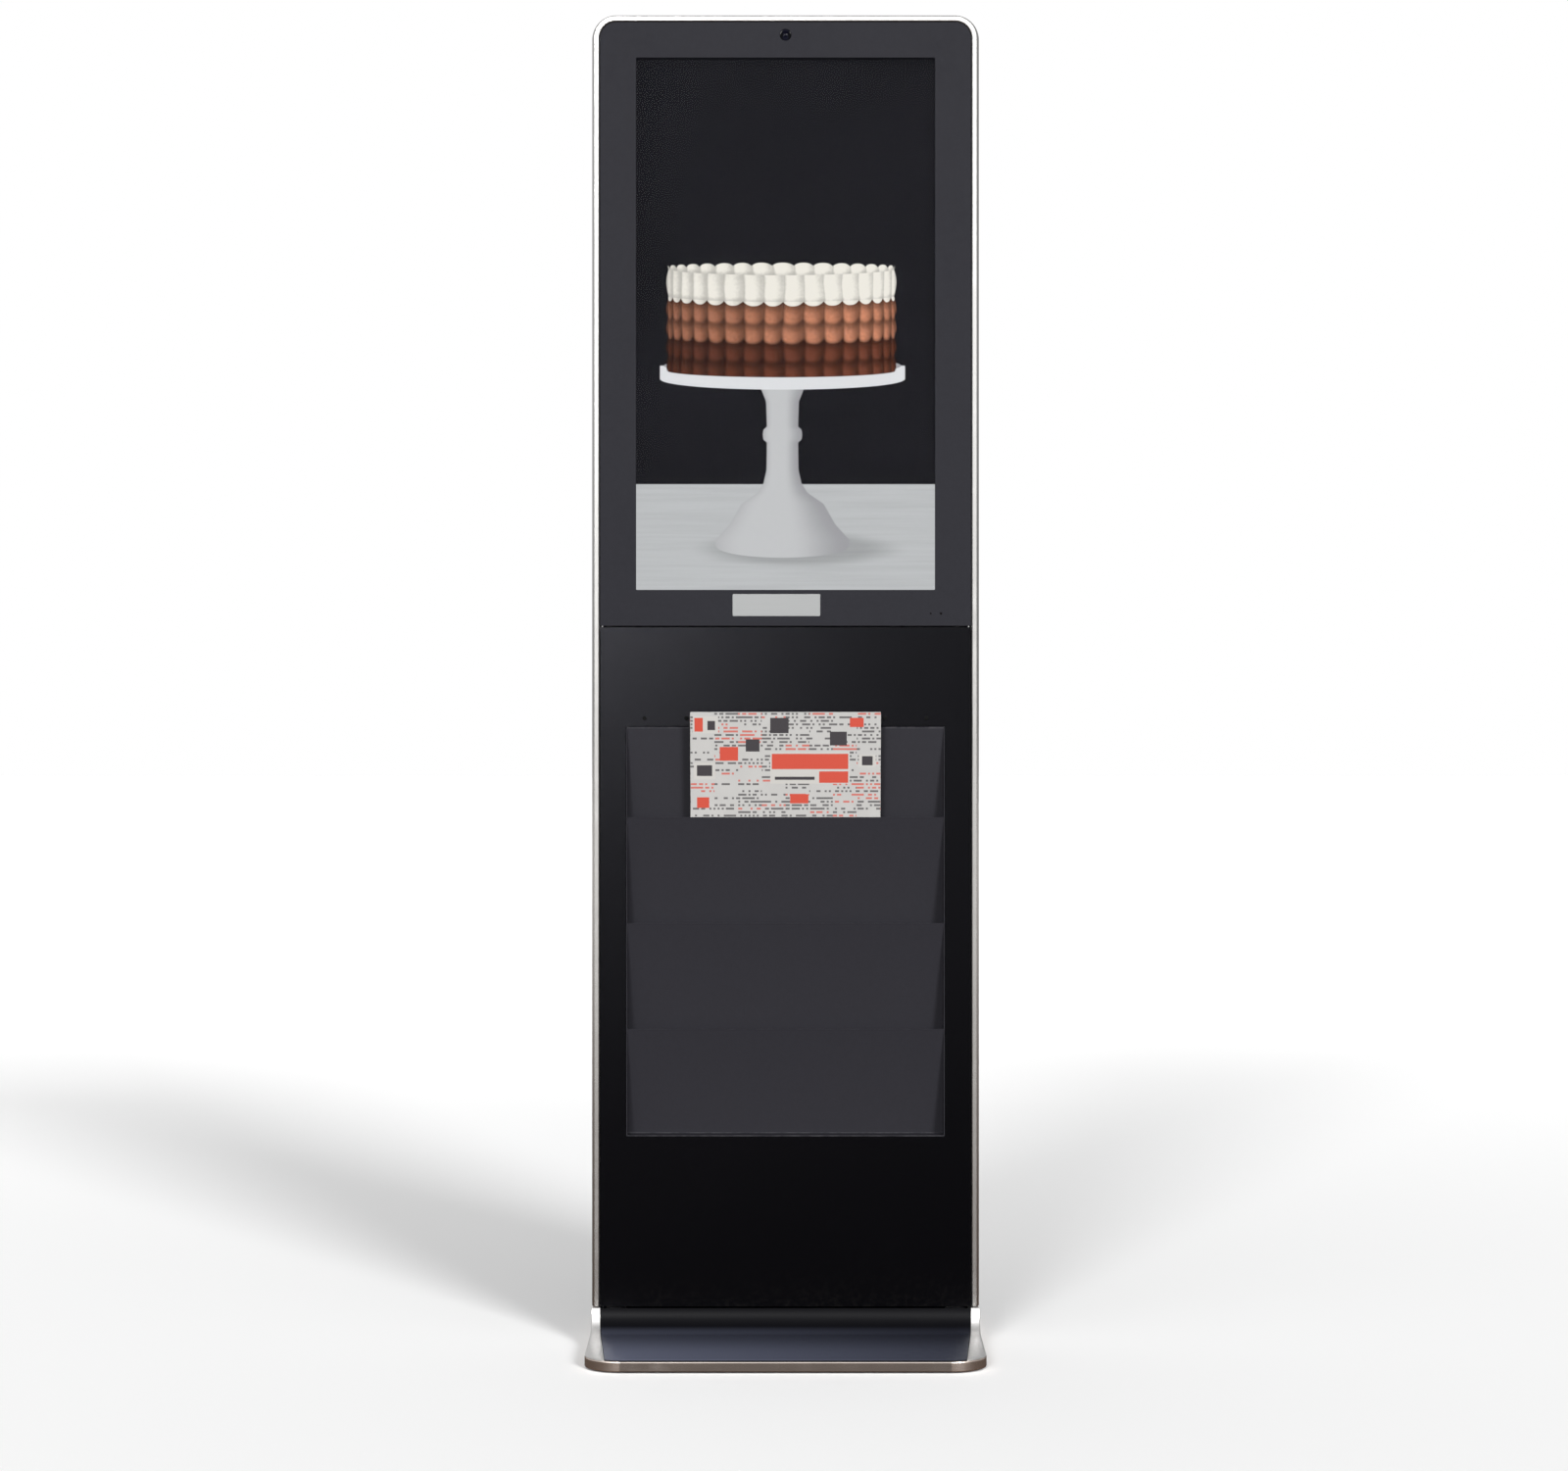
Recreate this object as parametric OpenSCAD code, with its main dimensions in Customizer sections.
// Floor-standing touchscreen kiosk with a leaflet rack, in millimetres.
// The origin is on the floor under the middle of the base. +Z is up and the screen faces -Y.

/* [Column] */
// Height from the floor to the top of the silver frame
total_h = 1748; // [1740:1:1760]
// Width across the silver frame
column_w = 509; // [505:1:512]
// Depth of the column from front to back
column_d = 66; // [66:1:70]
// Width of the silver band seen from the front
band_w = 10.5; // [9:0.5:12]
// Outer radius of the frame's two top corners
corner_r = 32; // [28:1:36]

/* [Screen] */
// Width of the picture
picture_w = 392; // [388:1:396]
// Height of the picture
picture_h = 698; // [690:1:702]
// Height of the picture's lower edge above the floor
picture_z = 992; // [990:1:996]
// How far the picture lies behind the bezel's face
picture_recess = 9.4; // [9:0.1:10]
// Height of the seam between the bezel and the lower panel
seam_z = 944; // [940:1:948]

/* [Leaflet rack] */
// Width of the rack's opening in the lower panel
rack_w = 418; // [410:1:422]
// Height of the rack's top edge
rack_top = 813; // [808:1:818]
// Height of the rack's bottom edge
rack_bottom = 275; // [270:1:280]
// Height from one pocket lip to the next
pocket_pitch = 139; // [136:1:140]
// Lean of each sloping panel, in degrees
panel_lean = 10.6; // [9:0.1:11]
// How deep a leaflet stands behind its lip
pocket_depth = 36; // [30:1:40]

/* [Base] */
// Width of the base plate
base_w = 510; // [508:1:514]
// Depth of the base plate
base_d = 440; // [430:2:450]
// Height of the base plate's upper face
base_h = 15; // [14:0.5:16]
// Corner radius of the base plate
base_r = 47; // [40:1:50]
// Height of the sweep where it meets the column
sweep_top = 50; // [46:1:50]

/* [Hidden] */
$fn = 64;

front_y = -column_d / 2;
rear_y = column_d / 2;
band_inner_x = column_w / 2 - band_w;
rail_bottom = sweep_top + 2;

// Sheet-metal panels sit half a millimetre behind the frame's face.
panel_set_back = 0.5;
panel_t = 2;
cover_t = 1.5;
panel_gap = 0.8;
panel_half_w = band_inner_x - panel_gap;
panel_corner_r = corner_r - band_w - panel_gap;
panel_y = front_y + panel_set_back;
panel_back_y = panel_y + panel_t;
cover_y = rear_y - panel_set_back - cover_t;
panel_top = total_h - band_w - panel_gap;

// Bullnose of the frame extrusion: one arc from the front face to the widest line.
bullnose_r = 34;
bullnose_depth = 16;
bullnose_fine = 128;
extrusion_wall = 2;

picture_top = picture_z + picture_h;
picture_y = panel_y + picture_recess;
picture_mid_z = picture_z + picture_h / 2;

camera_z = 1720;
camera_r = 7.25;
indicator_z = 961;
led_x = 190.5;
infrared_x = 204;
led_r = 1;
infrared_r = 1.5;
fit_gap = 0.3;

slope = tan(panel_lean);
sheet_t = 1.2;
sheet_gap = 0.2;
lip_z = [rack_top - 119, rack_top - 119 - pocket_pitch, rack_top - 119 - 2 * pocket_pitch];
rack_half_w = rack_w / 2;
rack_side_gap = 0.3;
rack_inner_half_w = rack_half_w - rack_side_gap - sheet_t - sheet_gap;
rack_depth = 36;
rack_screw_z = rack_top + 11;
rack_screw_x = [-185, -130, 130, 185];
screw_hole_r = 1.7;

leaflet_w = 250;
leaflet_h = 176;
leaflet_stack_t = 19.8;

sweep_r = 30;
sweep_foot = sweep_top - sweep_r;
sweep_edge_z = 16;
sweep_gap = 0.5;
sweep_start = rear_y + sweep_gap;
plate_ledge = 2.5;
cheek_inset = 0.3;
cheek_inner_x = 243.5;
cheek_toe_x = 228;
pad_r = 22;
pad_t = 4;
pad_proud = 1.5;
pad_x = 190;
pad_y = 175;
anchor_x = 200;
anchor_y = 115;
anchor_r = 5.5;

upright_size = 25;
upright_wall = 2;
upright_x = 224.5;
upright_y = 17.5;
upright_top = 1700;
bar_size = 20;
flange_t = 6;
flange_half_w = 239;
flange_half_d = 29;
bolt_xs = [-180, -60, 60, 180];
bolt_y = -14;
bolt_r = 4;
bolt_hole_r = 4.2;
cover_screw_x = 232;
cover_screw_r = 1.9;
screw_clearance = 0.1;
upper_screw_zs = [seam_z + 24, 1200, 1460, 1690];
lower_screw_zs = [90, 340, 630, seam_z - 20];

door_half_w = 160;
door_z = 560;
door_h = 340;
door_gap = 1.5;
door_top = door_z + door_h;
hinge_x = -door_half_w;
hinge_y = rear_y + 3.5;
hinge_zs = [door_z + 50, door_top - 50];
knuckle_r = 3.4;
knuckle_h = 18;
hinge_pin_r = 1.5;
pin_clearance = 0.05;
leaf_t = 1.2;
leaf_w = 20;
lock_x = 138;
lock_z = door_z + door_h / 2;
lock_r = 9;
plug_r = 6;
plug_clearance = 0.1;
cam_len = 32;
cam_w = 14;
cam_t = 2.5;
cam_y = 24.5;

inlet_x = -150;
inlet_z = 96;
inlet_w = 62;
inlet_h = 28;
rocker_mid_x = inlet_x + 17;
rocker_half_w = 5.4;
rocker_half_h = 8.2;
rocker_pocket_half_w = 5.9;
rocker_pin_r = 1.5;
rocker_pin_reach = 0.8;
rocker_pivot_y = rear_y - 2;

fan_z = 1590;
fan_size = 60;
fan_bore_r = 28.5;
fan_blade_r = 27.5;
fan_hub_r = 10.5;
fan_y = 13;
fan_depth = 15;
fan_blades = 7;

lead_r = 3;
lead_sides = 8;

// ---------- shared shapes ----------

// Rectangle standing in the XZ plane with rounded upper corners, pulled along +Y.
module standing_panel(half_w, z0, z1, y, thickness, top_r = 0) {
    translate([0, y + thickness, 0])
        rotate([90, 0, 0])
            linear_extrude(thickness)
                union() {
                    translate([-half_w, z0])
                        square([2 * half_w, z1 - z0 - top_r]);
                    if (top_r > 0) {
                        translate([-half_w + top_r, z0])
                            square([2 * half_w - 2 * top_r, z1 - z0]);
                        for (side = [-1, 1])
                            translate([side * (half_w - top_r), z1 - top_r])
                                circle(top_r);
                    }
                }
}

module slab(x0, x1, y0, y1, z0, z1) {
    translate([x0, y0, z0]) cube([x1 - x0, y1 - y0, z1 - z0]);
}

// Cylinder along Y from y0 to y1.
module rod_y(x, z, r, y0, y1, fine = 48) {
    translate([x, y0, z]) rotate([-90, 0, 0]) cylinder(r = r, h = y1 - y0, $fn = fine);
}

module square_tube(size, wall, length) {
    linear_extrude(length)
        difference() {
            square(size, center = true);
            square(size - 2 * wall, center = true);
        }
}

module mirrored_x(flip) {
    mirror([flip ? 1 : 0, 0, 0]) children();
}

// ---------- base ----------

module plate_outline(inset = 0) {
    w = base_w - 2 * inset;
    d = base_d - 2 * inset;
    r = base_r - inset;
    square([w - 2 * r, d], center = true);
    square([w, d - 2 * r], center = true);
    for (sx = [-1, 1], sy = [-1, 1])
        translate([sx * (w / 2 - r), sy * (d / 2 - r)]) circle(r, $fn = 96);
}

module each_pad() {
    for (sx = [-1, 1], sy = [-1, 1]) translate([sx * pad_x, sy * pad_y, 0]) children();
}

module base_plate() {
    color("silver")
        difference() {
            translate([0, 0, pad_proud]) linear_extrude(base_h - pad_proud) plate_outline();
            each_pad() cylinder(r = pad_r + fit_gap, h = pad_t + fit_gap);
            for (sx = [-1, 1], sy = [-1, 1])
                translate([sx * anchor_x, sy * anchor_y, -1]) cylinder(r = anchor_r, h = base_h + 2);
            for (x = bolt_xs)
                translate([x, bolt_y, pad_proud + 3]) cylinder(r = bolt_hole_r, h = base_h);
        }
}

module floor_pads() {
    color("black") each_pad() cylinder(r = pad_r, h = pad_t);
}

// Half of the boot's side profile: level over the column, a quarter-round sweep, then a long toe.
// The shape lies in the XY plane with distance from the middle along X and height along Y.
module sweep_profile(lift = 0) {
    toe = base_d / 2;
    difference() {
        polygon([[0, base_h], [0, sweep_top], [sweep_start, sweep_top],
            [sweep_start + sweep_r, sweep_top], [sweep_start + sweep_r, sweep_foot],
            [toe, sweep_edge_z], [toe, base_h]]);
        translate([sweep_start + sweep_r, sweep_top]) circle(sweep_r, $fn = 96);
    }
}

// The same profile standing in the YZ plane and pulled across x0..x1.
module sweep_solid(x0, x1) {
    translate([x0, 0, 0])
        rotate([90, 0, 90])
            linear_extrude(x1 - x0)
                sweep_profile();
}

module sweep_both(x0, x1) {
    sweep_solid(x0, x1);
    mirror([0, 1, 0]) sweep_solid(x0, x1);
}

// Plan of the dark centre cover on the rear side of the base; it narrows towards the toe.
module cover_plan(clearance = 0) {
    x0 = cheek_inner_x - clearance;
    x1 = cheek_toe_x - clearance;
    toe = base_d / 2 - plate_ledge;
    polygon([[-x0, sweep_start], [x0, sweep_start], [x1, toe], [-x1, toe]]);
}

module base_cover() {
    color([0.16, 0.16, 0.18])
        difference() {
            intersection() {
                sweep_solid(-base_w / 2, base_w / 2);
                linear_extrude(sweep_top + 1)
                    intersection() {
                        cover_plan(fit_gap);
                        plate_outline(plate_ledge);
                    }
            }
            // The cover is folded sheet, so the space under the sweep is hollow.
            difference() {
                translate([-base_w / 2, sweep_start + cover_t, 0])
                    cube([base_w, sweep_r + cover_t, sweep_foot + sweep_r * 0.8]);
                translate([-base_w, sweep_start + sweep_r, sweep_top])
                    rotate([0, 90, 0])
                        cylinder(r = sweep_r + cover_t, h = 2 * base_w, $fn = 96);
                translate([-base_w, sweep_start + sweep_r, 0])
                    cube([2 * base_w, sweep_r, sweep_top]);
            }
        }
}

module base_cover_rear() {
    base_cover();
}

module base_cover_front() {
    mirror([0, 1, 0]) base_cover();
}

// Silver side cheek of the base, from toe to toe past the column.
module base_cheek(flip) {
    color("silver")
        mirrored_x(flip)
            intersection() {
                sweep_both(cheek_toe_x - 1, base_w / 2);
                translate([0, 0, base_h])
                    linear_extrude(sweep_top)
                        difference() {
                            plate_outline(cheek_inset);
                            cover_plan();
                            mirror([0, 1, 0]) cover_plan();
                            square([2 * cheek_inner_x, 2 * sweep_start + 1], center = true);
                        }
            }
}

module base_cheek_left() {
    base_cheek(true);
}

module base_cheek_right() {
    base_cheek(false);
}

// ---------- steel skeleton ----------

module column_flange() {
    color("dimgray")
        difference() {
            slab(-flange_half_w, flange_half_w, -flange_half_d, flange_half_d, base_h, base_h + flange_t);
            for (x = bolt_xs)
                translate([x, bolt_y, 0]) cylinder(r = bolt_hole_r, h = base_h + 2 * flange_t);
        }
}

module flange_bolts() {
    head_r = 7.2;
    head_h = 5.3;
    washer_r = 8;
    washer_t = 1.6;
    seat_z = base_h + flange_t;
    color("silver")
        for (x = bolt_xs)
            translate([x, bolt_y, 0]) {
                translate([0, 0, pad_proud + 4]) cylinder(r = bolt_r, h = seat_z - pad_proud - 3);
                translate([0, 0, seat_z]) cylinder(r = washer_r, h = washer_t);
                translate([0, 0, seat_z + washer_t]) cylinder(r = head_r, h = head_h, $fn = 6);
            }
}

module upright(side) {
    z0 = base_h + flange_t;
    rear_face_y = upright_y + upright_size / 2;
    color("dimgray")
        difference() {
            translate([side * upright_x, upright_y, z0])
                square_tube(upright_size, upright_wall, upright_top - z0);
            for (z = concat(upper_screw_zs, lower_screw_zs))
                rod_y(side * cover_screw_x, z, cover_screw_r + screw_clearance,
                    rear_face_y - upright_wall - 1, rear_face_y + 1, 24);
        }
}

module upright_left() {
    upright(-1);
}

module upright_right() {
    upright(1);
}

module cross_bar(z) {
    half_span = upright_x - upright_size / 2;
    color("dimgray")
        translate([-half_span, upright_y, z])
            rotate([0, 90, 0])
                square_tube(bar_size, upright_wall, 2 * half_span);
}

module cross_bar_top() {
    cross_bar(upright_top - bar_size);
}

module cross_bar_middle() {
    cross_bar(seam_z + 4);
}

module cross_bar_bottom() {
    cross_bar(170);
}

// ---------- silver frame ----------

// Cross-section of the frame extrusion. X runs outwards from the inner face, Y is depth.
module frame_section() {
    arc_x = band_w - bullnose_r;
    arc_y = rear_y - bullnose_depth;
    difference() {
        intersection() {
            translate([0, front_y]) square([band_w, column_d]);
            union() {
                translate([arc_x, -arc_y]) circle(bullnose_r, $fn = bullnose_fine);
                translate([arc_x, arc_y]) circle(bullnose_r, $fn = bullnose_fine);
                translate([arc_x, -arc_y]) square([bullnose_r, 2 * arc_y]);
            }
        }
        translate([extrusion_wall, front_y + 6])
            square([band_w - 2 * extrusion_wall, column_d - 12]);
    }
}

module frame_rail(flip) {
    color("silver")
        mirrored_x(flip)
            translate([band_inner_x, 0, rail_bottom])
                linear_extrude(total_h - corner_r - rail_bottom)
                    frame_section();
}

module frame_rail_left() {
    frame_rail(true);
}

module frame_rail_right() {
    frame_rail(false);
}

// Quarter bend of the same section; the bend's axis runs along Y.
module frame_bend() {
    translate([column_w / 2 - corner_r, 0, total_h - corner_r])
        rotate([90, 0, 0])
            rotate_extrude(angle = 90, $fn = 96)
                translate([corner_r - band_w, 0])
                    frame_section();
}

module frame_arch() {
    span = column_w - 2 * corner_r;
    color("silver") {
        frame_bend();
        mirror([1, 0, 0]) frame_bend();
        translate([-span / 2, 0, total_h - band_w])
            rotate([90, 0, 90])
                linear_extrude(span)
                    rotate(90)
                        mirror([0, 1])
                            frame_section();
    }
}

// Spacer blocks that screw the frame extrusions to the uprights.
module frame_clips() {
    clip_h = 36;
    clip_d = 16;
    x0 = upright_x + upright_size / 2;
    color("dimgray")
        for (side = [false, true], z = [200, 620, 1040, 1460])
            mirrored_x(side)
                slab(x0, band_inner_x, upright_y - clip_d / 2, upright_y + clip_d / 2, z, z + clip_h);
}

// ---------- screen ----------

module front_bezel() {
    color([0.22, 0.22, 0.245])
        difference() {
            standing_panel(panel_half_w, seam_z + panel_gap, panel_top, panel_y, panel_t, panel_corner_r);
            slab(-picture_w / 2, picture_w / 2, panel_y - 1, panel_back_y + 1, picture_z, picture_top);
            rod_y(0, camera_z, camera_r + fit_gap, panel_y - 1, panel_back_y + 1);
            rod_y(led_x, indicator_z, led_r + 0.1, panel_y - 1, panel_back_y + 1);
            rod_y(infrared_x, indicator_z, infrared_r + 0.1, panel_y - 1, panel_back_y + 1);
        }
}

// Ring of infrared emitters and receivers behind the edge of the bezel's opening.
module touch_frame() {
    inner_half_w = picture_w / 2 + 0.6;
    outer_half_w = inner_half_w + 10;
    y0 = panel_back_y + 0.1;
    color([0.08, 0.08, 0.09])
        difference() {
            slab(-outer_half_w, outer_half_w, y0, y0 + 3, picture_z - 10.6, picture_top + 10.6);
            slab(-inner_half_w, inner_half_w, y0 - 1, y0 + 4, picture_z - 0.6, picture_top + 0.6);
        }
}

module touch_glass() {
    glass_t = 3.2;
    margin = 13;
    color([0.1, 0.12, 0.13, 0.4])
        slab(-picture_w / 2 - margin, picture_w / 2 + margin, picture_y - 0.5 - glass_t, picture_y - 0.5,
            picture_z - margin, picture_top + margin);
}

cell_margin = 9;
cell_t = 1.6;
tray_margin = 10;
tray_wall = 1.2;
tray_back_y = 4;

module lcd_cell() {
    color([0.05, 0.05, 0.06])
        slab(-picture_w / 2 - cell_margin, picture_w / 2 + cell_margin, picture_y, picture_y + cell_t,
            picture_z - cell_margin, picture_top + cell_margin);
}

module diffuser_plate() {
    margin = tray_margin - tray_wall - 0.6;
    y0 = picture_y + cell_t + 0.5;
    color("white")
        slab(-picture_w / 2 - margin, picture_w / 2 + margin, y0, y0 + 2.5,
            picture_z - margin, picture_top + margin);
}

module backlight_tray() {
    y0 = picture_y + cell_t + 0.1;
    inner = tray_margin - tray_wall;
    color("gainsboro")
        difference() {
            slab(-picture_w / 2 - tray_margin, picture_w / 2 + tray_margin, y0, tray_back_y,
                picture_z - tray_margin, picture_top + tray_margin);
            slab(-picture_w / 2 - inner, picture_w / 2 + inner, y0 - 1, tray_back_y - tray_wall,
                picture_z - inner, picture_top + inner);
        }
}

module led_bars() {
    bars = 8;
    bar_h = 12;
    bar_t = 1.2;
    lens_r = 5;
    lenses = 6;
    y1 = tray_back_y - tray_wall - 0.1;
    color("ivory")
        for (i = [0 : bars - 1]) {
            z = picture_z + picture_h * (i + 0.5) / bars;
            slab(-picture_w / 2 + 4, picture_w / 2 - 4, y1 - bar_t, y1, z - bar_h / 2, z + bar_h / 2);
            for (j = [0 : lenses - 1])
                rod_y(picture_w * ((j + 0.5) / lenses - 0.5), z, lens_r, y1 - 5, y1 - bar_t + 0.1, 24);
        }
}

// Angle rail that carries the display between its tray and an upright.
module display_bracket(flip) {
    x0 = picture_w / 2 + tray_margin + 0.3;
    z0 = picture_z + 20;
    z1 = picture_top - 20;
    y1 = upright_y - upright_size / 2 - 0.1;
    color("dimgray")
        mirrored_x(flip) {
            slab(x0, x0 + panel_t, y1 - 18, y1, z0, z1);
            slab(x0, upright_x + upright_size / 2 - 2, y1 - panel_t, y1, z0, z1);
        }
}

module display_bracket_left() {
    display_bracket(true);
}

module display_bracket_right() {
    display_bracket(false);
}

module display_board() {
    x0 = -70;
    z0 = 1210;
    board_y = tray_back_y + 5;
    board_t = 1.6;
    board_w = 140;
    board_h = 110;
    color("darkgreen") {
        slab(x0, x0 + board_w, board_y, board_y + board_t, z0, z0 + board_h);
        for (cx = [x0 + 8, x0 + board_w - 8], cz = [z0 + 8, z0 + board_h - 8])
            rod_y(cx, cz, 3, tray_back_y + 0.1, board_y + 0.1, 24);
        slab(x0 + 45, x0 + 75, board_y + board_t - 0.1, board_y + 5, z0 + 40, z0 + 70);
        slab(x0 + 10, x0 + 60, board_y + board_t - 0.1, board_y + 9, z0 + 4, z0 + 14);
    }
}

module camera_module() {
    color([0.1, 0.1, 0.1])
        difference() {
            slab(-16, 16, panel_back_y + 0.1, panel_back_y + 15, camera_z - 9, camera_z + 9);
            rod_y(0, camera_z, camera_r + fit_gap, panel_back_y - 1, panel_back_y + 5);
        }
}

module camera_lens() {
    color([0.02, 0.02, 0.03])
        rod_y(0, camera_z, camera_r, panel_y - 0.4, panel_back_y + 4.9);
}

module status_led() {
    color([0.6, 0.1, 0.1])
        rod_y(led_x, indicator_z, led_r, panel_y + 0.2, panel_back_y + 2, 24);
}

module infrared_window() {
    color([0.1, 0.02, 0.03])
        rod_y(infrared_x, indicator_z, infrared_r, panel_y + 0.2, panel_back_y + 2, 24);
}

module nameplate() {
    plate_w = 115;
    plate_h = 29;
    plate_t = 0.8;
    plate_x = -12;
    plate_z = 957.5;
    color("gainsboro")
        slab(plate_x - plate_w / 2, plate_x + plate_w / 2, panel_y - plate_t, panel_y,
            plate_z, plate_z + plate_h);
}

// ---------- lower front and leaflet rack ----------

module rack_screw_holes(y0, y1) {
    for (x = rack_screw_x) rod_y(x, rack_screw_z, screw_hole_r, y0, y1, 24);
}

module lower_front_panel() {
    color([0.1, 0.1, 0.11])
        difference() {
            standing_panel(panel_half_w, rail_bottom, seam_z - panel_gap, panel_y, panel_t);
            slab(-rack_half_w, rack_half_w, panel_y - 1, panel_back_y + 1, rack_bottom, rack_top);
            rack_screw_holes(panel_y - 1, panel_back_y + 1);
        }
}

// Sloping sheet from the front plane at z_top, running back as it goes down to z_low.
module sloping_sheet(z_top, z_low) {
    run = (z_top - z_low) * slope;
    translate([-rack_inner_half_w, 0, 0])
        rotate([90, 0, 90])
            linear_extrude(2 * rack_inner_half_w)
                polygon([[panel_y, z_top], [panel_y + sheet_t, z_top],
                    [panel_y + run + sheet_t, z_low], [panel_y + run, z_low]]);
}

// Folded floor of the pocket behind the lip at z_lip, reaching back to its sloping sheet.
module pocket_floor(z_top, z_lip) {
    z_floor = z_lip - pocket_depth;
    y0 = panel_y + pocket_depth * slope + sheet_t + sheet_gap;
    y1 = panel_y + (z_top - z_floor) * slope + sheet_t;
    slab(-rack_inner_half_w, rack_inner_half_w, y0, y1 - 0.1, z_floor, z_floor + sheet_t);
}

rack_colour = [0.21, 0.205, 0.23];

module rack_panel_back() {
    hanger_y = panel_back_y + sheet_gap;
    fold_set_back = 0.3;
    color(rack_colour)
        difference() {
            union() {
                sloping_sheet(rack_top - sheet_gap, lip_z[0] - pocket_depth);
                pocket_floor(rack_top - sheet_gap, lip_z[0]);
                slab(-rack_inner_half_w, rack_inner_half_w, panel_y + fold_set_back, hanger_y + sheet_t,
                    rack_top - sheet_gap - sheet_t, rack_top - sheet_gap);
                slab(-rack_inner_half_w, rack_inner_half_w, hanger_y, hanger_y + sheet_t,
                    rack_top - sheet_gap - sheet_t, rack_screw_z + 8);
            }
            rack_screw_holes(hanger_y - 1, hanger_y + 3);
        }
}

module rack_panel(lip, next_lip) {
    color(rack_colour) {
        sloping_sheet(lip, next_lip - pocket_depth);
        pocket_floor(lip, next_lip);
    }
}

module rack_panel_upper() {
    rack_panel(lip_z[0], lip_z[1]);
}

module rack_panel_middle() {
    rack_panel(lip_z[1], lip_z[2]);
}

module rack_panel_lower() {
    color(rack_colour) sloping_sheet(lip_z[2], rack_bottom + 2 * sheet_t);
}

module rack_base() {
    run = (lip_z[2] - rack_bottom) * slope;
    color(rack_colour)
        slab(-rack_inner_half_w, rack_inner_half_w, panel_y, panel_y + run + 2 * sheet_t,
            rack_bottom + sheet_gap, rack_bottom + sheet_gap + sheet_t);
}

module rack_side(flip) {
    x0 = rack_half_w - rack_side_gap - sheet_t;
    color(rack_colour)
        mirrored_x(flip)
            slab(x0, x0 + sheet_t, panel_y, panel_y + rack_depth,
                rack_bottom + sheet_gap, rack_top - sheet_gap);
}

module rack_side_left() {
    rack_side(true);
}

module rack_side_right() {
    rack_side(false);
}

module rack_screws() {
    head_r = 2.9;
    head_t = 1.2;
    shank_r = 1.5;
    color([0.05, 0.05, 0.05])
        for (x = rack_screw_x) {
            rod_y(x, rack_screw_z, shank_r, panel_y - 0.1, panel_back_y + 6, 24);
            rod_y(x, rack_screw_z, head_r, panel_y - head_t, panel_y, 24);
        }
}

// Full pocket of leaflets, parallel to the sloping sheets on both sides of it.
module leaflet_stack() {
    floor_top = lip_z[0] - pocket_depth + sheet_t;
    sheet_back_y = panel_y + (lip_z[0] - floor_top) * slope + sheet_t;
    color("whitesmoke")
        translate([-leaflet_w / 2, sheet_back_y + 0.4, floor_top + 0.4])
            rotate([panel_lean, 0, 0])
                cube([leaflet_w, leaflet_stack_t, leaflet_h]);
}

// ---------- rear ----------

module slot_field(x, z, columns, rows) {
    slot_w = 46;
    slot_h = 3.5;
    pitch_x = 56;
    pitch_z = 10;
    for (i = [0 : columns - 1], j = [0 : rows - 1])
        slab(x + (i - (columns - 1) / 2) * pitch_x - slot_w / 2,
            x + (i - (columns - 1) / 2) * pitch_x + slot_w / 2,
            cover_y - 1, rear_y + 1,
            z + j * pitch_z, z + j * pitch_z + slot_h);
}

module cover_screw_holes(zs) {
    for (side = [-1, 1], z = zs)
        rod_y(side * cover_screw_x, z, 2.2, cover_y - 1, rear_y + 1, 24);
}

module rear_cover_upper() {
    color([0.16, 0.16, 0.17])
        difference() {
            standing_panel(panel_half_w, seam_z + panel_gap, panel_top, cover_y, cover_t, panel_corner_r);
            slot_field(0, fan_z - 34, 5, 8);
            slot_field(0, 1030, 5, 6);
            cover_screw_holes(upper_screw_zs);
        }
}

module rear_cover_lower() {
    color([0.16, 0.16, 0.17])
        difference() {
            standing_panel(panel_half_w, rail_bottom, seam_z - panel_gap, cover_y, cover_t);
            slab(-door_half_w, door_half_w, cover_y - 1, rear_y + 1, door_z, door_top);
            slab(inlet_x - inlet_w / 2 + 6, inlet_x + inlet_w / 2 - 6, cover_y - 1, rear_y + 1,
                inlet_z - inlet_h / 2 + 3, inlet_z + inlet_h / 2 - 3);
            slot_field(0, 440, 5, 6);
            cover_screw_holes(lower_screw_zs);
        }
}

module cover_screws() {
    color("dimgray")
        for (side = [-1, 1], z = concat(upper_screw_zs, lower_screw_zs)) {
            rod_y(side * cover_screw_x, z, cover_screw_r, cover_y - 4.5, rear_y - panel_set_back + 0.1, 24);
            rod_y(side * cover_screw_x, z, 4, rear_y - panel_set_back, rear_y - panel_set_back + 1.8, 32);
        }
}

module service_door() {
    x0 = -door_half_w + door_gap;
    x1 = door_half_w - door_gap;
    z0 = door_z + door_gap;
    z1 = door_top - door_gap;
    fold = 8;
    color([0.16, 0.16, 0.17])
        difference() {
            union() {
                slab(x0, x1, cover_y, cover_y + cover_t, z0, z1);
                // Folded edges stiffen the door at its top and bottom.
                slab(x0 + 6, x1 - 6, cover_y - fold, cover_y + 0.1, z0, z0 + cover_t);
                slab(x0 + 6, x1 - 6, cover_y - fold, cover_y + 0.1, z1 - cover_t, z1);
            }
            rod_y(lock_x, lock_z, lock_r + 0.1, cover_y - 1, rear_y + 1);
        }
}

// The middle knuckle of each hinge belongs to the door, the outer two to the cover.
module hinge_knuckle(z0, h) {
    translate([hinge_x, hinge_y, z0])
        difference() {
            cylinder(r = knuckle_r, h = h, $fn = 48);
            translate([0, 0, -1]) cylinder(r = hinge_pin_r + pin_clearance, h = h + 2, $fn = 48);
        }
}

leaf_y0 = rear_y - panel_set_back;

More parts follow.
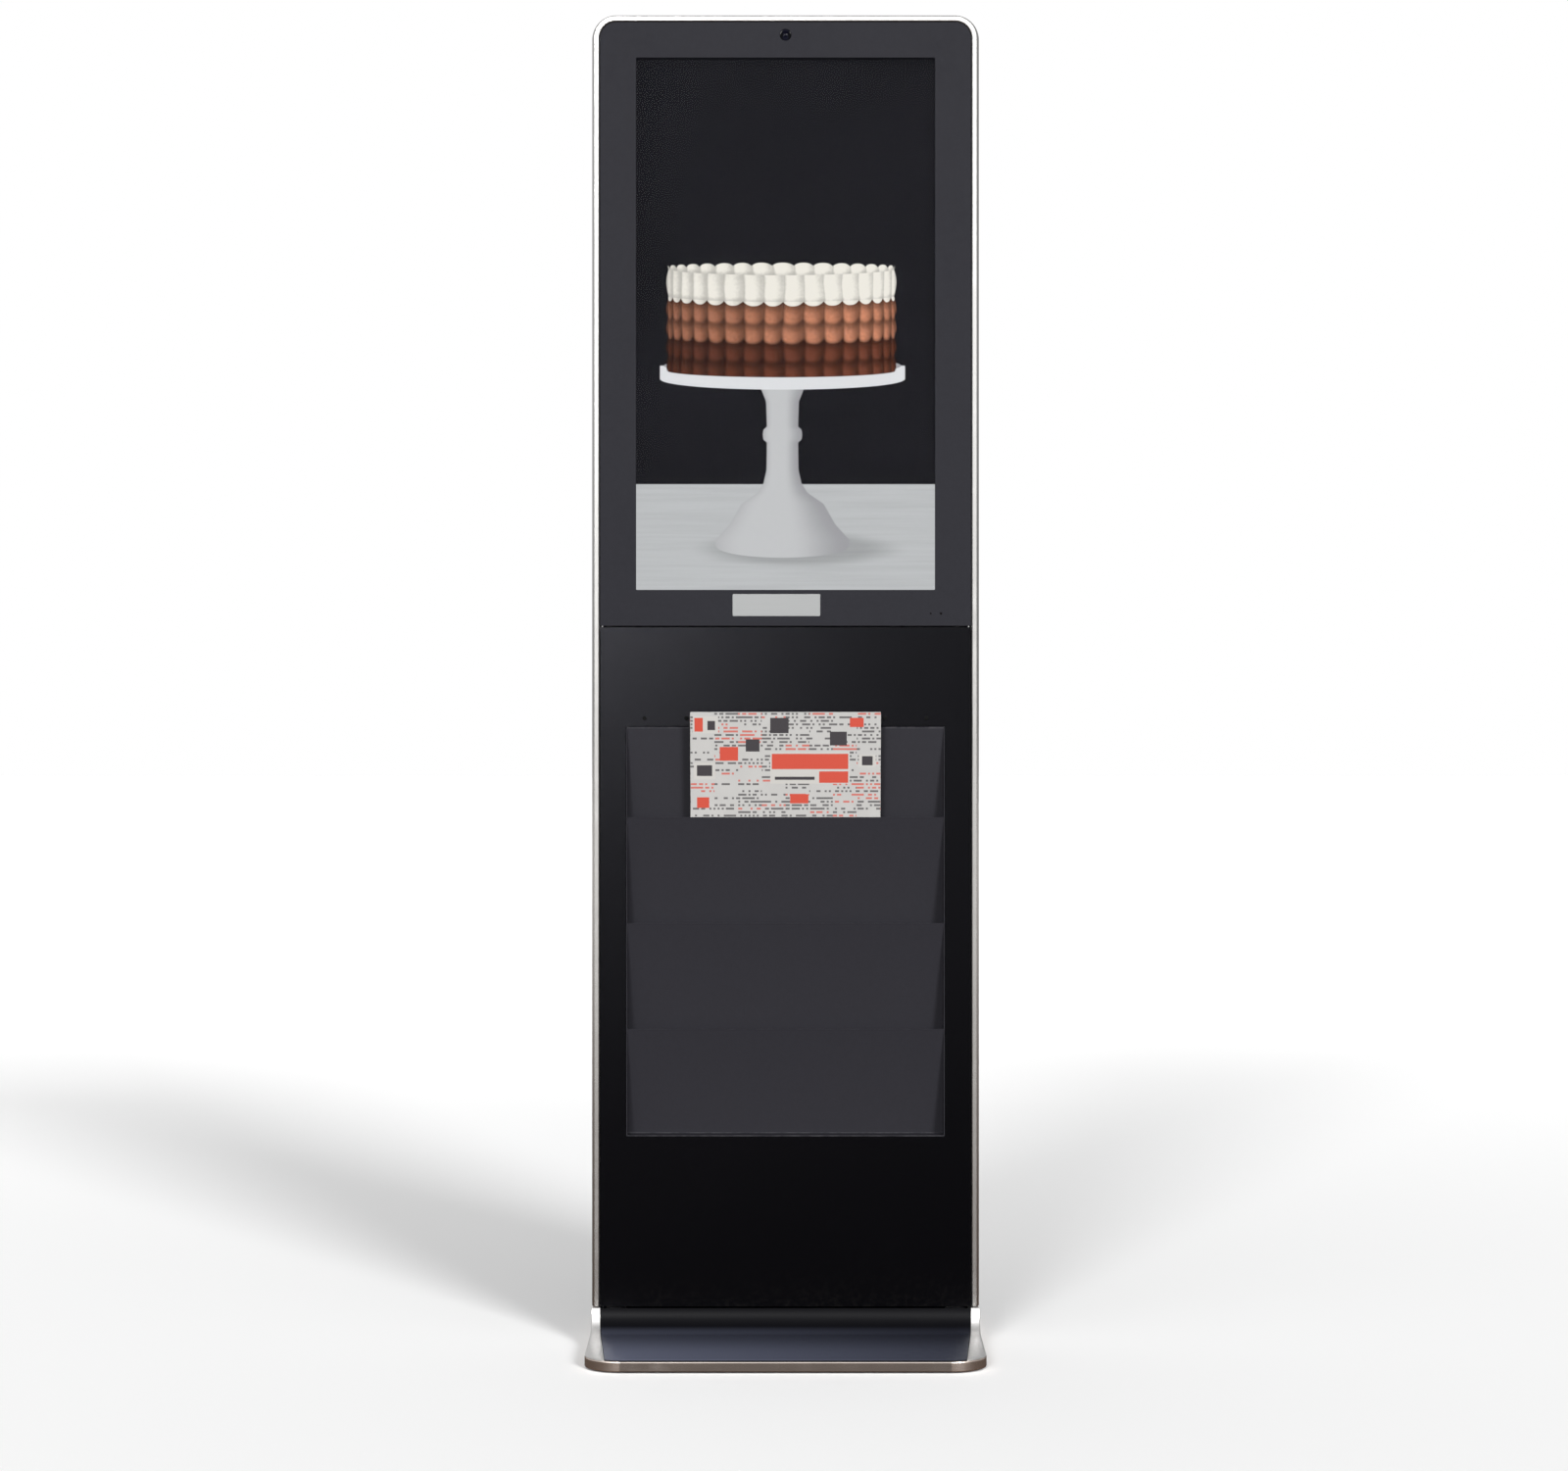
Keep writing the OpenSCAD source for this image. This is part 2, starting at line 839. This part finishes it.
module hinge_cover_leaves() {
    color("silver")
        for (z = hinge_zs) {
            for (k = [-1, 1])
                hinge_knuckle(z + k * (knuckle_h + 0.4) - knuckle_h / 2, knuckle_h);
            difference() {
                slab(hinge_x - leaf_w, hinge_x, leaf_y0, leaf_y0 + leaf_t,
                    z - knuckle_h * 1.5, z + knuckle_h * 1.5);
                slab(hinge_x - knuckle_r - 0.6, hinge_x + 1, leaf_y0 - 1, leaf_y0 + 3,
                    z - knuckle_h / 2 - 0.3, z + knuckle_h / 2 + 0.3);
            }
        }
}

module hinge_door_leaves() {
    color("silver")
        for (z = hinge_zs) {
            hinge_knuckle(z - knuckle_h / 2, knuckle_h);
            slab(hinge_x + 0.5, hinge_x + 3, leaf_y0, hinge_y - hinge_pin_r - 0.3,
                z - knuckle_h / 2, z + knuckle_h / 2);
            slab(hinge_x + 2, hinge_x + leaf_w, leaf_y0, leaf_y0 + leaf_t,
                z - knuckle_h / 2, z + knuckle_h / 2);
        }
}

module hinge_pins() {
    color("silver")
        for (z = hinge_zs)
            translate([hinge_x, hinge_y, z - knuckle_h * 1.6])
                cylinder(r = hinge_pin_r, h = knuckle_h * 3.2, $fn = 48);
}

module lock_barrel() {
    color("silver")
        difference() {
            union() {
                rod_y(lock_x, lock_z, lock_r, cam_y + cam_t + 0.8, cover_y + cover_t + 0.1);
                rod_y(lock_x, lock_z, lock_r + 2.5, cover_y + cover_t, cover_y + cover_t + 2);
            }
            rod_y(lock_x, lock_z, plug_r + plug_clearance, cam_y, rear_y + 5);
        }
}

// Plug with its key slot, and the cam that turns with it. At rest the cam hangs down, unlocked.
module lock_plug() {
    plug_front = cover_y + cover_t + 2.4;
    color("silver")
        difference() {
            union() {
                rod_y(lock_x, lock_z, plug_r, cam_y + 0.1, plug_front);
                slab(lock_x - cam_w / 2, lock_x + cam_w / 2, cam_y, cam_y + cam_t,
                    lock_z - cam_len, lock_z + cam_w / 2);
            }
            slab(lock_x - 0.6, lock_x + 0.6, plug_front - 4, plug_front + 1, lock_z - 4, lock_z + 4);
        }
}

module mains_inlet() {
    face_y = rear_y - panel_set_back;
    face_t = 2;
    body_half_w = inlet_w / 2 - 6.5;
    body_half_h = inlet_h / 2 - 3.5;
    socket_w = 25;
    socket_h = 17;
    color([0.08, 0.08, 0.08])
        difference() {
            union() {
                slab(inlet_x - inlet_w / 2, inlet_x + inlet_w / 2, face_y, face_y + face_t,
                    inlet_z - inlet_h / 2, inlet_z + inlet_h / 2);
                slab(inlet_x - body_half_w, inlet_x + body_half_w, face_y - 22, face_y + 0.1,
                    inlet_z - body_half_h, inlet_z + body_half_h);
            }
            slab(inlet_x - 24, inlet_x - 24 + socket_w, face_y - 16, face_y + face_t + 1,
                inlet_z - socket_h / 2, inlet_z + socket_h / 2);
            slab(rocker_mid_x - rocker_pocket_half_w, rocker_mid_x + rocker_pocket_half_w,
                face_y - 12, face_y + face_t + 1, inlet_z - 9.4, inlet_z + 9.4);
            rocker_pin(rocker_pin_r + pin_clearance, rocker_pin_reach + 0.2);
        }
    // The three flat pins inside the inlet.
    color("silver")
        for (pin = [[-4.5, 3], [4.5, 3], [0, -3.5]])
            slab(inlet_x - 11.5 + pin[0] - 1, inlet_x - 11.5 + pin[0] + 1, face_y - 17, face_y - 3,
                inlet_z + pin[1] - 2, inlet_z + pin[1] + 2);
}

// Pin along X through the rocker; reach is how far it enters the wall on each side of the pocket.
module rocker_pin(r, reach) {
    half = rocker_pocket_half_w + reach;
    translate([rocker_mid_x - half, rocker_pivot_y, inlet_z])
        rotate([0, 90, 0])
            cylinder(r = r, h = 2 * half, $fn = 32);
}

// Rocker with a shallow V face, turning on its pin. At rest it is switched off.
module power_rocker() {
    off_tilt = -6;
    face = 4.6;
    dip = 1.6;
    color([0.55, 0.06, 0.05]) {
        rocker_pin(rocker_pin_r, rocker_pin_reach);
        translate([rocker_mid_x - rocker_half_w, rocker_pivot_y, inlet_z])
            rotate([off_tilt, 0, 0])
                rotate([90, 0, 90])
                    linear_extrude(2 * rocker_half_w)
                        polygon([[0, -rocker_half_h], [face, -rocker_half_h], [face - dip, 0],
                            [face, rocker_half_h], [0, rocker_half_h], [-4, 3], [-4, -3]]);
    }
}

// ---------- equipment inside the column ----------

module equipment_plate() {
    half_w = upright_x - upright_size / 2 - 0.3;
    y0 = 5;
    color("gainsboro") slab(-half_w, half_w, y0, y0 + cover_t, 300, 880);
}

plate_face_y = 6.6;

module media_player() {
    x0 = -60;
    z0 = 640;
    color([0.12, 0.12, 0.13]) {
        slab(x0, x0 + 150, plate_face_y, plate_face_y + 14, z0, z0 + 140);
        for (i = [0 : 8])
            slab(x0 + 15 + i * 14, x0 + 19 + i * 14, plate_face_y + 13.9, plate_face_y + 16, z0 + 10, z0 + 130);
    }
}

module power_supply() {
    x0 = -140;
    z0 = 600;
    color("silver") slab(x0, x0 + 60, plate_face_y, plate_face_y + 15, z0, z0 + 180);
}

module speakers() {
    driver_y = tray_back_y + 8;
    color([0.1, 0.1, 0.1])
        for (side = [-1, 1]) {
            slab(side * 100 - 45, side * 100 + 45, driver_y, driver_y + 12, 1035, 1085);
            rod_y(side * 100, 1060, 18, driver_y + 11.9, driver_y + 15);
        }
}

module fan_housing() {
    strut_t = 2;
    strut_w = 4;
    back_y = fan_y + fan_depth - strut_t;
    window_r = fan_bore_r - 0.5;
    color([0.07, 0.07, 0.07])
        difference() {
            slab(-fan_size / 2, fan_size / 2, fan_y, fan_y + fan_depth,
                fan_z - fan_size / 2, fan_z + fan_size / 2);
            rod_y(0, fan_z, fan_bore_r, fan_y - 1, back_y);
            // Four windows leave a hub and four struts in the rear wall.
            difference() {
                rod_y(0, fan_z, window_r, back_y - 1, back_y + strut_t + 1);
                rod_y(0, fan_z, fan_hub_r, back_y - 2, back_y + strut_t + 2);
                for (turn = [45, 135])
                    translate([0, back_y, fan_z])
                        rotate([0, turn, 0])
                            translate([-window_r - 1, -2, -strut_w / 2])
                                cube([2 * window_r + 2, strut_t + 4, strut_w]);
            }
            rod_y(0, fan_z, 1.5 + pin_clearance, back_y - 1, back_y + strut_t + 1, 24);
        }
}

module fan_rotor() {
    blade_t = 1.4;
    blade_pitch = 35;
    hub_y = fan_y + 1;
    hub_depth = 10.5;
    color([0.1, 0.1, 0.1]) {
        rod_y(0, fan_z, fan_hub_r, hub_y, hub_y + hub_depth);
        rod_y(0, fan_z, 1.5, hub_y, fan_y + fan_depth - 0.3, 24);
        intersection() {
            rod_y(0, fan_z, fan_blade_r, hub_y, hub_y + hub_depth - 0.5);
            for (i = [0 : fan_blades - 1])
                translate([0, hub_y + hub_depth / 2, fan_z])
                    rotate([0, i * 360 / fan_blades, 0])
                        translate([fan_hub_r - 2, 0, 0])
                            rotate([blade_pitch, 0, 0])
                                translate([0, -blade_t / 2, -9])
                                    cube([fan_blade_r, blade_t, 18]);
        }
    }
}

// Closed tube swept along a list of points, as one polyhedron.
function unit(v) = v / norm(v);
function heading(path, i) =
    unit(path[min(i + 1, len(path) - 1)] - path[max(i - 1, 0)]);
function across(t) =
    unit(cross(t, abs(t[1]) > 0.9 ? [1, 0, 0] : [0, 1, 0]));
function ring(path, i, r, sides) =
    let (t = heading(path, i), u = across(t), v = cross(t, u))
        [for (k = [0 : sides - 1]) path[i] + r * (cos(360 * k / sides) * u + sin(360 * k / sides) * v)];

module swept_tube(path, r, sides) {
    last = len(path) - 1;
    points = [for (i = [0 : last]) each ring(path, i, r, sides)];
    walls = [for (i = [0 : last - 1], k = [0 : sides - 1])
        let (a = i * sides + k, b = i * sides + (k + 1) % sides)
            [a, a + sides, b + sides, b]];
    caps = [[for (k = [0 : sides - 1]) k], [for (k = [sides - 1 : -1 : 0]) last * sides + k]];
    polyhedron(points, concat(walls, caps), convexity = 6);
}

mains_lead_route = [[-162, 10.2, 96], [-162, 6, 96], [-162, 2, 99], [-162, 0, 108], [-164, 0, 130],
    [-170, 0, 160], [-178, 0, 190], [-188, 4, 220], [-196, 12, 255], [-196, 16, 300],
    [-196, 16, 400], [-196, 16, 480], [-188, 16, 524], [-166, 15, 548], [-140, 15, 560],
    [-120, 14, 572], [-111, 14, 586], [-110, 14, 593], [-110, 14, 599.8]];
display_lead_route = [[20, 14, 780.2], [20, 14, 800], [24, 15, 820], [44, 17, 850], [84, 18, 880],
    [128, 18, 900], [150, 15, 915], [156, 2, 930], [156, 0, 950], [150, 4, 970],
    [130, 8, 985], [110, 9, 1000], [60, 9, 1015], [10, 9, 1030], [-20, 9, 1060],
    [-30, 9, 1120], [-34, 12, 1170], [-35, 14, 1195], [-35, 14, 1213.8]];

module internal_leads() {
    color([0.06, 0.06, 0.06]) {
        swept_tube(mains_lead_route, lead_r, lead_sides);
        swept_tube(display_lead_route, lead_r, lead_sides);
    }
}

base_plate();
floor_pads();
base_cover_front();
base_cover_rear();
base_cheek_left();
base_cheek_right();
column_flange();
flange_bolts();
upright_left();
upright_right();
cross_bar_top();
cross_bar_middle();
cross_bar_bottom();
frame_rail_left();
frame_rail_right();
frame_arch();
frame_clips();
front_bezel();
touch_frame();
touch_glass();
lcd_cell();
diffuser_plate();
backlight_tray();
led_bars();
display_bracket_left();
display_bracket_right();
display_board();
camera_module();
camera_lens();
status_led();
infrared_window();
nameplate();
lower_front_panel();
rack_side_left();
rack_side_right();
rack_panel_back();
rack_panel_upper();
rack_panel_middle();
rack_panel_lower();
rack_base();
rack_screws();
leaflet_stack();
rear_cover_upper();
rear_cover_lower();
cover_screws();
service_door();
hinge_cover_leaves();
hinge_door_leaves();
hinge_pins();
lock_barrel();
lock_plug();
mains_inlet();
power_rocker();
equipment_plate();
media_player();
power_supply();
speakers();
fan_housing();
fan_rotor();
internal_leads();
